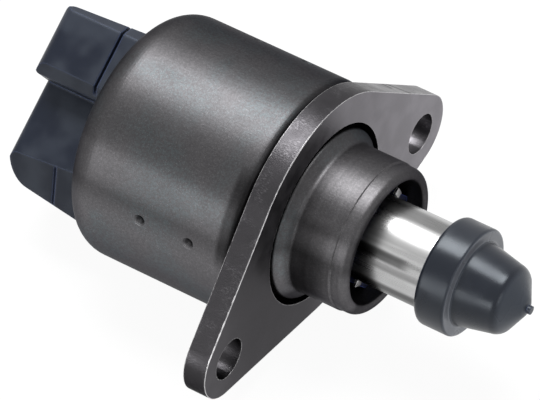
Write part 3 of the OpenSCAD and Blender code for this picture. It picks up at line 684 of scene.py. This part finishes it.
def walls(build, rings, closed=False):
    """Faces from each ring of points to the next, and from the last to the first if closed."""
    pairs = zip(rings, rings[1:] + rings[:1]) if closed else zip(rings, rings[1:])
    for first, second in pairs:
        for step in range(len(first)):
            after = (step + 1) % len(first)
            build.faces.new((first[step], first[after], second[after], second[step]))


def caps(build, rings):
    """Flat faces over the first and the last ring of points."""
    build.faces.new(rings[0])
    build.faces.new(list(reversed(rings[-1])))


def swept_tube(build, path, radius, sides, closed=False):
    """A tube of one radius, or one radius per point, along a path, with flat ends if it is open."""
    count = len(path)
    rings = []
    for index, point in enumerate(path):
        ahead = path[(index + 1) % count] if closed or index + 1 < count else path[index]
        behind = path[index - 1] if closed or index else path[index]
        along = (ahead - behind).normalized()
        side = along.cross(Vector((1.0, 0.0, 0.0)))
        if side.length < 1e-6:
            side = along.cross(Vector((0.0, 1.0, 0.0)))
        side.normalize()
        up = side.cross(along)
        wide = radius[index] if hasattr(radius, "__len__") else radius
        rings.append([
            build.verts.new(point + wide * (math.cos(turn) * side + math.sin(turn) * up))
            for turn in turns(sides)
        ])
    walls(build, rings, closed)
    if not closed:
        caps(build, rings)


def front_outline(node, at_x, inner_radius):
    """The closed loop of points where a node's front face at at_x ends, outside inner_radius."""
    mesh = cad(node).data
    near, weld = 0.02 * MM, 0.001 * MM
    merged = [tuple(round(part / weld) for part in vertex.co) for vertex in mesh.vertices]
    joined = {}
    rims = {}
    for face in mesh.polygons:
        if face.normal.x < 0.99 or abs(face.center.x - at_x) > near:
            continue
        for a, b in face.edge_keys:
            pair = tuple(sorted((merged[a], merged[b])))
            rims[pair] = rims.get(pair, 0) + 1
            joined[merged[a]] = mesh.vertices[a].co.copy()
            joined[merged[b]] = mesh.vertices[b].co.copy()
    links = {}
    for (a, b), uses in rims.items():
        if uses == 1 and a != b:
            links.setdefault(a, []).append(b)
            links.setdefault(b, []).append(a)
    loops, seen = [], set()
    for start in links:
        if start in seen:
            continue
        loop, here, last = [], start, None
        while here not in seen:
            seen.add(here)
            loop.append(joined[here])
            step = [other for other in links[here] if other != last and other not in seen]
            if not step:
                break
            last, here = here, step[0]
        loops.append(loop)

    def reach(loop):
        """How far a loop lies from the part's axis at its farthest point."""
        return max(math.hypot(p.y, p.z) for p in loop)

    return max((loop for loop in loops if reach(loop) > inner_radius * MM and len(loop) > 8), key=reach)


def evenly(loop, step):
    """A closed loop's points set step metres apart."""
    lengths = [(loop[(i + 1) % len(loop)] - p).length for i, p in enumerate(loop)]
    total = sum(lengths)
    count = max(12, int(total / step))
    points, travelled, index = [], 0.0, 0
    for number in range(count):
        goal = total * number / count
        while travelled + lengths[index] < goal:
            travelled += lengths[index]
            index += 1
        start, end = loop[index], loop[(index + 1) % len(loop)]
        points.append(start.lerp(end, (goal - travelled) / max(lengths[index], 1e-9)))
    return points


# Operators

class IDLEVALVE_OT_can(Operator):
    """Gives the drawn can its dark plating"""
    bl_idname = "idle_valve.can"
    bl_label = "Drawn can"

    def execute(self, context):
        scene = context.scene
        dress("motor_can", drawn_plating(scene.valve_finishes, scene.valve_sizes))
        return {"FINISHED"}


class IDLEVALVE_OT_flange(Operator):
    """Gives the pressed flange its finish and the bright burr along its front edge"""
    bl_idname = "idle_valve.flange"
    bl_label = "Mounting flange"

    def execute(self, context):
        look, sizes = context.scene.valve_finishes, context.scene.valve_sizes
        dress("mounting_flange", pressed_plating(look))
        chance = random.Random(7)
        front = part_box("mounting_flange")[1].x
        rim = evenly(front_outline("mounting_flange", front, BEYOND_BORE), BURR_STEP * MM)
        lean = Vector(BURR_SIDE).normalized()
        path, widths = [], []
        for p in rim:
            around = Vector((0.0, p.y, p.z)).normalized()
            share_here = min(1.0, max(0.0, (around.dot(lean) - BURR_FROM) / BURR_SOFT))
            inset = sizes.burr * MM * (BURR_LEAST + (1.0 - BURR_LEAST) * share_here)
            # A little further in than the burr is thick, so that it stays inside the plate's outline.
            inward = 1 - 1.1 * inset / math.hypot(p.y, p.z)
            path.append(Vector((front - 0.5 * inset, p.y * inward, p.z * inward)))
            widths.append(inset * chance.uniform(0.8, 1.0))
        piece(
            "flange_edge_burr", lambda build: swept_tube(build, path, widths, sides=8, closed=True),
            plain_metal("rubbed_edge", look.bare_edge, 0.30), HOUSING)
        return {"FINISHED"}


class IDLEVALVE_OT_connector(Operator):
    """Dresses the end cap with its plug, its seal and the terminal pins"""
    bl_idname = "idle_valve.connector"
    bl_label = "End cap and plug"

    def execute(self, context):
        look, sizes = context.scene.valve_finishes, context.scene.valve_sizes
        black = moulded_black(
            "cap_plastic", look.cap_black, look.cap_rough, 3.0 * sizes.edge_round, bloom=0.34, gloss=0.26)
        dress("end_cap", black)
        dress("end_cap_seal", sintered("seal_rubber", (0.02, 0.02, 0.021), 0.6))
        pins = plain_metal("plated_terminal", look.terminal, 0.22, (0.05, 1.0, 1.0), 0.08, 0.003)
        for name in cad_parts:
            if name.startswith("terminal_pin"):
                dress(name, pins)
        return {"FINISHED"}


class IDLEVALVE_OT_stator(Operator):
    """Dresses the stator's cups, pole rings, bobbins and windings"""
    bl_idname = "idle_valve.stator"
    bl_label = "Stator"

    def execute(self, context):
        look = context.scene.valve_finishes
        steel = plain_metal("stator_steel", (0.42, 0.43, 0.45), 0.36, (1.0, 1.0, 1.0), 0.25)
        bobbin = moulded_pale("bobbin_plastic", (0.72, 0.67, 0.54), 0.45)
        copper = wound_copper(look)
        for end in ("rear", "front"):
            dress(f"stator_cup_{end}", steel)
            dress(f"pole_ring_{end}", steel)
            dress(f"coil_bobbin_{end}", bobbin)
            dress(f"coil_winding_{end}", copper)
        dress("rear_bush", plain_metal("bush_bronze", (0.52, 0.36, 0.17), 0.4, (1.0, 0.05, 0.05), 0.12))
        dress("wave_washer", plain_metal("spring_steel", (0.45, 0.46, 0.48), 0.28))
        return {"FINISHED"}


class IDLEVALVE_OT_rotor(Operator):
    """Dresses the magnet rotor with its hub and its ball bearing"""
    bl_idname = "idle_valve.rotor"
    bl_label = "Rotor and bearing"

    def execute(self, context):
        dress("rotor_magnet", sintered("ferrite", (0.05, 0.05, 0.055), 0.55))
        dress("rotor_hub", moulded_pale("hub_plastic", (0.66, 0.61, 0.48), 0.42))
        race = plain_metal("bearing_steel", (0.60, 0.61, 0.63), 0.16, (1.0, 0.03, 0.03), 0.08, 0.003)
        for name in ("bearing_inner_race", "bearing_outer_race", "bearing_balls"):
            dress(name, race)
        dress("ball_cage", plain_metal("cage_brass", (0.52, 0.38, 0.18), 0.34))
        return {"FINISHED"}


class IDLEVALVE_OT_guide(Operator):
    """Dresses the guide bush and the seat of the spring"""
    bl_idname = "idle_valve.guide"
    bl_label = "Guide bush"

    def execute(self, context):
        look = context.scene.valve_finishes
        edge = context.scene.valve_sizes.edge_round
        dress("guide_bush", moulded_black("guide_plastic", look.guide_plastic, 0.45, edge, bloom=0.1))
        dress("spring_seat", plain_metal("seat_steel", (0.46, 0.47, 0.49), 0.34))
        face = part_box("guide_bush")[1].x
        section = [(face + out * MM, reach * MM) for out, reach in TAB_SECTION]

        def tabs(build):
            """Two thin stop tabs that lean over the edges of the guide's slots."""
            for first, last in TAB_ANGLES:
                rings = []
                for step in range(TAB_STEPS + 1):
                    turn = math.radians(first + (last - first) * step / TAB_STEPS)
                    across, up = math.cos(turn), math.sin(turn)
                    rings.append([
                        build.verts.new((x, reach * across, reach * up)) for x, reach in section])
                walls(build, rings)
                caps(build, rings)

        steel = plain_metal("tab_steel", (0.72, 0.71, 0.72), 0.25)
        piece("guide_stop_tabs", tabs, steel, HOUSING, smooth=False)
        return {"FINISHED"}


class IDLEVALVE_OT_plunger(Operator):
    """Builds the screw's thread, the spring and the gate stub, and dresses the sleeve and tip"""
    bl_idname = "idle_valve.plunger"
    bl_label = "Plunger"

    def execute(self, context):
        look, sizes = context.scene.valve_finishes, context.scene.valve_sizes
        dress("plunger_sleeve", ground_steel(look))
        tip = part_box("pintle_tip")[1]
        black = moulded_black(
            "tip_plastic", look.tip_black, look.tip_rough, 1.6 * sizes.edge_round, bloom=0.10, gloss=0.36,
            front_painted_sheen=0.6, shoulder=tip.y / MM - SHOULDER_DEPTH)
        dress("pintle_tip", black)
        self.screw(sizes)
        self.spring(sizes)
        chance = random.Random(11)

        def stub(build):
            """A torn little cone where the moulding's gate was broken off."""
            rings = []
            for height, reach in GATE_RINGS:
                rings.append([
                    build.verts.new((
                        tip.x + (height - 1.0) * sizes.gate_height * MM * chance.uniform(0.97, 1.0),
                        reach * MM * chance.uniform(0.8, 1.1) * math.cos(turn),
                        reach * MM * chance.uniform(0.8, 1.1) * math.sin(turn)))
                    for turn in turns(GATE_SIDES)
                ])
            walls(build, rings)
            below, across, up = (part * MM for part in GATE_TOP)
            top = build.verts.new((tip.x + below, across, up))
            for step in range(GATE_SIDES):
                build.faces.new((rings[-1][step], rings[-1][(step + 1) % GATE_SIDES], top))
            build.faces.new(list(reversed(rings[0])))

        piece("gate_stub", stub, black, PLUNGER, smooth=False)
        return {"FINISHED"}

    def screw(self, sizes):
        """The lead screw with its rolled thread, which takes the place of the plain rod."""
        low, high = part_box("lead_screw")
        radius = high.y
        mesh = cad("lead_screw").data
        shoulder = max(v.co.x for v in mesh.vertices if math.hypot(v.co.y, v.co.z) > 0.9 * radius)
        stub_radius = max(math.hypot(v.co.y, v.co.z) for v in mesh.vertices if v.co.x > shoulder + MM)
        pitch, depth = sizes.thread_pitch * MM, sizes.thread_depth * MM
        count = int((shoulder - low.x) / pitch * THREAD_ROWS)
        places = [low.x + (shoulder - low.x) * row / count for row in range(count + 1)]

        def radius_at(x, turn):
            """The thread's radius: a flat crest, straight flanks and a rounded root."""
            phase = ((x - low.x) / pitch - turn / (2 * math.pi)) % 1.0
            rise = min(1.0, max(0.0, FLANK_SLOPE * abs(phase - 0.5) - FLANK_START))
            run_out = RUN_OUT * pitch
            blunt = min(1.0, (x - low.x) / run_out, (shoulder - x) / run_out + 0.2)
            return radius - depth * (1.0 - rise * blunt)

        chamfer = SCREW_CHAMFER * MM
        profile = [(x, None) for x in places]
        profile += [(shoulder, stub_radius), (high.x - chamfer, stub_radius)]
        profile.append((high.x, stub_radius - chamfer))

        def threaded(build):
            """The screw as rings of points, threaded up to its shoulder and plain beyond."""
            rings = []
            for x, plain in profile:
                ring = []
                for turn in turns(THREAD_SIDES):
                    wide = plain or radius_at(x, turn)
                    ring.append(build.verts.new((x, wide * math.cos(turn), wide * math.sin(turn))))
                rings.append(ring)
            walls(build, rings)
            caps(build, rings)

        steel = plain_metal("rolled_screw", (0.56, 0.57, 0.59), 0.22)
        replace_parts(piece("threaded_screw", threaded, steel, PLUNGER), "lead_screw")

    def spring(self, sizes):
        """The return spring as a smooth coil."""
        low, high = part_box("plunger_spring")
        wire = sizes.spring_wire * MM / 2
        reach = high.y - wire
        steps = sizes.spring_turns * COIL_STEPS
        path = []
        for step in range(steps + 1):
            turn = 2 * math.pi * sizes.spring_turns * step / steps
            x = low.x + wire + (high.x - low.x - 2 * wire) * step / steps
            path.append(Vector((x, reach * math.cos(turn), reach * math.sin(turn))))
        coil = piece(
            "return_spring", lambda build: swept_tube(build, path, wire, COIL_SIDES),
            plain_metal("spring_wire", (0.50, 0.51, 0.53), 0.26), PLUNGER)
        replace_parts(coil, "plunger_spring")
        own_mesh(coil)


def set_axes(obj, axes):
    """Turns and places an object by its three directions and its place."""
    for column, axis in enumerate(axes):
        for row in range(3):
            obj.matrix_world[row][column] = axis[row]


class IDLEVALVE_OT_studio(Operator):
    """Makes the pale floor, the soft lamps and the camera"""
    bl_idname = "idle_valve.studio"
    bl_label = "Studio"

    def execute(self, context):
        scene = context.scene
        studio = scene.valve_studio
        self.floor(studio)
        self.world(scene, studio)
        self.camera(scene, studio)
        for setting, name, toward, size in LAMPS:
            self.lamp(name, Vector(toward) * LAMP_DISTANCE, size, getattr(studio, setting))
        scene.view_settings.view_transform = "Standard"
        return {"FINISHED"}

    def floor(self, studio):
        """A broad pale floor under the part, which keeps the part's shadow."""
        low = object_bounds()[0]
        mesh = bpy.data.meshes.new("floor")
        build = bmesh.new()
        bmesh.ops.create_grid(build, x_segments=2, y_segments=2, size=FLOOR_HALF)
        build.to_mesh(mesh)
        build.free()
        obj = bpy.data.objects.new("floor", mesh)
        obj.location.z = low.z - 0.1 * MM
        bpy.context.scene.collection.objects.link(obj)
        obj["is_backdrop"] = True
        material = bpy.data.materials.new("floor")
        material.use_nodes = True
        patterns = Patterns(material.node_tree)
        pale = patterns.node(
            "ShaderNodeBsdfPrincipled", Base_Color=studio.floor, Roughness=0.9, Specular_IOR_Level=0.0)
        white = patterns.node("ShaderNodeEmission", Strength=1.0)
        patterns.shown(pale, white, FLOOR_WHITE, patterns.node("ShaderNodeOutputMaterial"))
        mesh.materials.append(material)

    def world(self, scene, studio):
        """An even studio light, seen as white by the camera and in reflections."""
        world = bpy.data.worlds.new("studio")
        scene.world = world
        world.use_nodes = True
        patterns = Patterns(world.node_tree)
        even = patterns.node("ShaderNodeBackground", Color=(1.0, 1.0, 1.0), Strength=studio.ambient)
        white = patterns.node("ShaderNodeBackground", Color=(1.0, 1.0, 1.0), Strength=1.0)
        patterns.shown(even, white, 1.0, patterns.node("ShaderNodeOutputWorld"))

    def camera(self, scene, studio):
        """The camera at the photograph's angle."""
        turn, lift, roll = studio.azimuth, studio.elevation, studio.roll
        back = Vector((math.sin(turn) * math.cos(lift), -math.cos(turn) * math.cos(lift), math.sin(lift)))
        level = Vector((math.cos(turn), math.sin(turn), 0.0))
        upright = back.cross(level)
        up = upright * math.cos(roll) + level * math.sin(roll)
        right = level * math.cos(roll) - upright * math.sin(roll)
        wide, high = PICTURE
        data = bpy.data.cameras.new("camera")
        data.sensor_width = 36.0
        data.lens = studio.lens
        data.clip_start, data.clip_end = 0.01, 20.0
        data.shift_x = (wide / 2 - studio.origin_u) / wide
        data.shift_y = (studio.origin_v - high / 2) / wide
        obj = bpy.data.objects.new("camera", data)
        scene.collection.objects.link(obj)
        set_axes(obj, (right, up, back, back * studio.distance))
        scene.camera = obj

    def lamp(self, name, place, size, watts):
        """A soft rectangular lamp that looks at the part, its first size along the part's axis."""
        data = bpy.data.lights.new(name, "AREA")
        data.shape = "RECTANGLE"
        data.size, data.size_y = size
        data.energy = watts
        obj = bpy.data.objects.new(name, data)
        bpy.context.scene.collection.objects.link(obj)
        away = place.normalized()
        along = Vector((1.0, 0.0, 0.0))
        along = (along - away * along.dot(away)).normalized()
        set_axes(obj, (along, away.cross(along), away, place))


class IDLEVALVE_PT_dressing(Panel):
    """Lists the steps that dress the valve"""
    bl_label = "Idle valve"
    bl_idname = "IDLEVALVE_PT_dressing"
    bl_space_type = "VIEW_3D"
    bl_region_type = "UI"
    bl_category = "Idle valve"

    def draw(self, context):
        for operator in STEPS:
            self.layout.operator(operator.bl_idname)
        for group in ("valve_finishes", "valve_sizes", "valve_studio"):
            box = self.layout.box()
            settings = getattr(context.scene, group)
            for name in settings.__annotations__:
                box.prop(settings, name)


STEPS = (
    IDLEVALVE_OT_can,
    IDLEVALVE_OT_flange,
    IDLEVALVE_OT_connector,
    IDLEVALVE_OT_stator,
    IDLEVALVE_OT_rotor,
    IDLEVALVE_OT_guide,
    IDLEVALVE_OT_plunger,
    IDLEVALVE_OT_studio,
)
GROUPS = (IdleValveFinishes, IdleValveSizes, IdleValveStudio)


def register():
    for item in (*GROUPS, *STEPS, IDLEVALVE_PT_dressing):
        bpy.utils.register_class(item)
    bpy.types.Scene.valve_finishes = PointerProperty(type=IdleValveFinishes)
    bpy.types.Scene.valve_sizes = PointerProperty(type=IdleValveSizes)
    bpy.types.Scene.valve_studio = PointerProperty(type=IdleValveStudio)


def unregister():
    del bpy.types.Scene.valve_finishes
    del bpy.types.Scene.valve_sizes
    del bpy.types.Scene.valve_studio
    for item in reversed((*GROUPS, *STEPS, IDLEVALVE_PT_dressing)):
        bpy.utils.unregister_class(item)


def main():
    """Registers the add-on and runs its steps in order."""
    register()
    bpy.ops.idle_valve.can()
    bpy.ops.idle_valve.flange()
    bpy.ops.idle_valve.connector()
    bpy.ops.idle_valve.stator()
    bpy.ops.idle_valve.rotor()
    bpy.ops.idle_valve.guide()
    bpy.ops.idle_valve.plunger()
    bpy.ops.idle_valve.studio()


if __name__ == "__main__":
    main()
